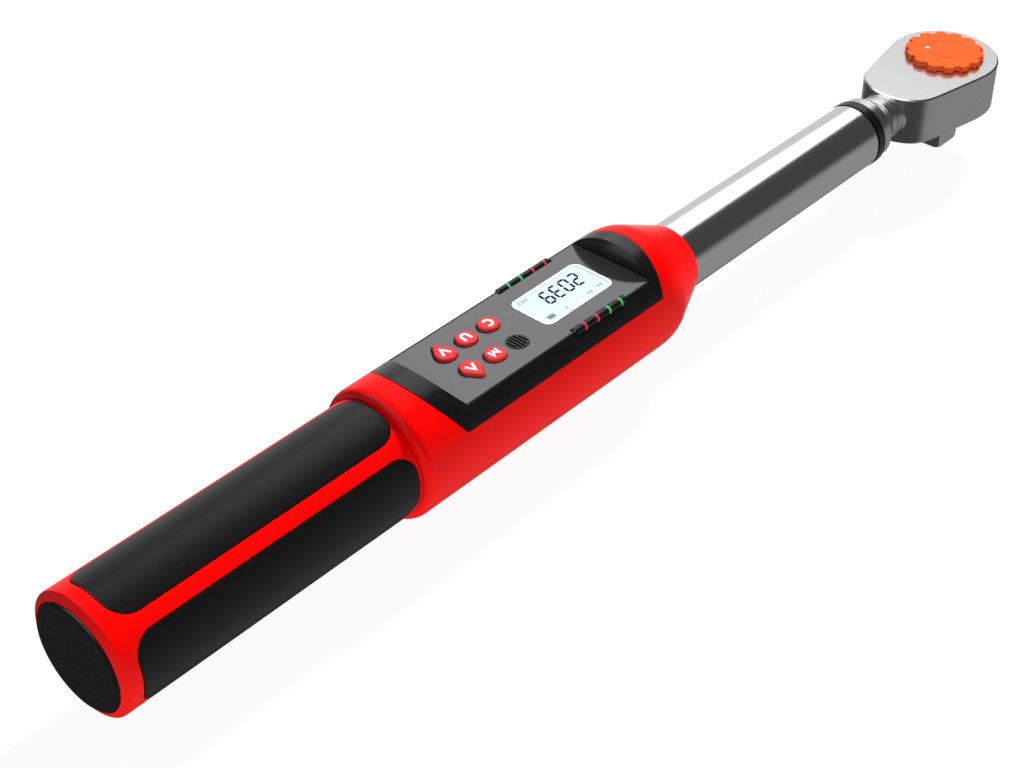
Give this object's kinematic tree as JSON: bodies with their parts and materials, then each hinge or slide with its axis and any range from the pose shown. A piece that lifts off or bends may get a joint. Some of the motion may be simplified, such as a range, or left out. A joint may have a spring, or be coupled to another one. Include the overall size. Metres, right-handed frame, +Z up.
{
  "type": "digital torque wrench",
  "caption": "Electronic torque wrench with display, keys, light bars, steel tube, battery grip and a reversible ratchet head with square drive.",
  "frame": {"origin": "middle of the square drive's flat end face", "axes": "+X along the tool from the battery cap to the ratchet head, +Z up out of the display and the dial, away from the drive's end, -Y towards the arrow key whose point looks to the tool's right side"},
  "size_m": [0.42, 0.042, 0.0465],
  "materials": {
    "red_plastic": "saturated red moulded plastic, satin gloss",
    "pad_rubber": "matte black rubber",
    "black_plastic": "black moulded plastic, semi-gloss",
    "faceplate_grey": "fine-grained mid grey label plate",
    "white_plastic": "white display rim",
    "lcd_glass": "clear pale blue window",
    "lcd_module": "pale blue-grey liquid crystal panel with its backlight",
    "board": "green circuit board",
    "key_red": "soft red key with a white sign",
    "light_red": "red light guide",
    "light_green": "green light guide",
    "steel": "polished bright steel",
    "satin_steel": "satin plated steel",
    "brass": "plain brass contact",
    "gauge_film": "amber polyimide film",
    "cell_sleeve": "printed cell sleeve",
    "orange_plastic": "matte orange moulded plastic"
  },
  "bodies": {
    "handle": {"grip_handle": "red_plastic", "display_housing": "red_plastic", "grip_pad_top": "pad_rubber", "grip_pad_near": "pad_rubber", "grip_pad_bottom": "pad_rubber", "grip_pad_far": "pad_rubber", "grip_cross_pin": "steel", "battery_holder": "black_plastic", "battery_1": "cell_sleeve", "battery_2": "cell_sleeve", "battery_3": "cell_sleeve", "contact_board": "board", "display_frame": "black_plastic", "faceplate": "faceplate_grey", "lcd_rim": "white_plastic", "lcd_window": "lcd_glass", "lcd_panel": "lcd_module", "main_board": "board", "key_mat": "pad_rubber", "buzzer": "black_plastic", "buzzer_grille": "black_plastic", "light_bar_near": "black_plastic", "light_bar_far": "black_plastic", "light_near_1": "light_red", "light_near_2": "light_red", "light_near_3": "light_green", "light_near_4": "light_green", "light_far_1": "light_green", "light_far_2": "light_green", "light_far_3": "light_red", "light_far_4": "light_red", "measuring_bar": "satin_steel", "strain_gauge_top": "gauge_film", "strain_gauge_bottom": "gauge_film", "gauge_flex": "gauge_film", "steel_tube": "steel", "tube_end_ring": "black_plastic", "neck_collar": "steel", "neck_pin": "steel", "head_body": "satin_steel", "head_cover": "satin_steel", "cover_screw_near": "steel", "cover_screw_far": "steel", "cover_screw_front": "steel", "pawl_pin": "steel"},
    "drive": {"drive_gear": "satin_steel", "detent_spring": "steel"},
    "ball": {"detent_ball": "steel"},
    "dial": {"direction_dial": "orange_plastic", "shift_arm": "steel"},
    "pawl": {"pawl": "satin_steel"},
    "cap": {"battery_cap": "black_plastic", "cap_seal_ring": "pad_rubber"},
    "cap_contacts": {"cap_contact_plate": "brass", "cap_contact_spring": "steel"},
    "key_clear": {"key_clear": "key_red"},
    "key_unit": {"key_unit": "key_red"},
    "key_mode": {"key_mode": "key_red"},
    "key_down": {"key_down": "key_red"},
    "key_up": {"key_up": "key_red"}
  },
  "joints": [
    {"name": "drive_spin", "type": "hinge", "parent": "handle", "child": "drive", "pos_m": [0, 0, 0.0255], "axis": [0, 0, 1], "continuous": true},
    {"name": "detent_ball_press", "type": "slide", "parent": "drive", "child": "ball", "axis": [0, -1, 0], "range_m": [0, 0.0006], "stiffness_N_per_m": 1500, "springref_m": -0.0006},
    {"name": "dial_turn", "type": "hinge", "parent": "handle", "child": "dial", "pos_m": [0, 0, 0.0355], "axis": [0, 0, 1], "range_deg": [-20, 20]},
    {"name": "pawl_rock", "type": "hinge", "parent": "handle", "child": "pawl", "pos_m": [-0.0189, 0, 0.0235], "axis": [0, 0, 1], "range_deg": [-6, 6]},
    {"name": "key_clear_press", "type": "slide", "parent": "handle", "child": "key_clear", "axis": [0, 0, -1], "range_m": [0, 0.0005], "stiffness_N_per_m": 2000, "springref_m": -0.0005},
    {"name": "key_unit_press", "type": "slide", "parent": "handle", "child": "key_unit", "axis": [0, 0, -1], "range_m": [0, 0.0005], "stiffness_N_per_m": 2000, "springref_m": -0.0005},
    {"name": "key_mode_press", "type": "slide", "parent": "handle", "child": "key_mode", "axis": [0, 0, -1], "range_m": [0, 0.0005], "stiffness_N_per_m": 2000, "springref_m": -0.0005},
    {"name": "key_down_press", "type": "slide", "parent": "handle", "child": "key_down", "axis": [0, 0, -1], "range_m": [0, 0.0005], "stiffness_N_per_m": 2000, "springref_m": -0.0005},
    {"name": "key_up_press", "type": "slide", "parent": "handle", "child": "key_up", "axis": [0, 0, -1], "range_m": [0, 0.0005], "stiffness_N_per_m": 2000, "springref_m": -0.0005},
    {"name": "cap_travel", "type": "slide", "parent": "handle", "child": "cap_contacts", "axis": [-1, 0, 0], "range_m": [0, 0.006]},
    {"name": "cap_unscrew", "type": "hinge", "parent": "cap_contacts", "child": "cap", "pos_m": [-0.3984, 0, 0.0255], "axis": [-1, 0, 0], "range_deg": [0, 1080]}
  ],
  "couplings": [
    {"joint": "pawl_rock", "follows": "dial_turn", "ratio": 0.3},
    {"joint": "cap_unscrew", "follows": "cap_travel", "rad_per_m": 3141.6}
  ]
}
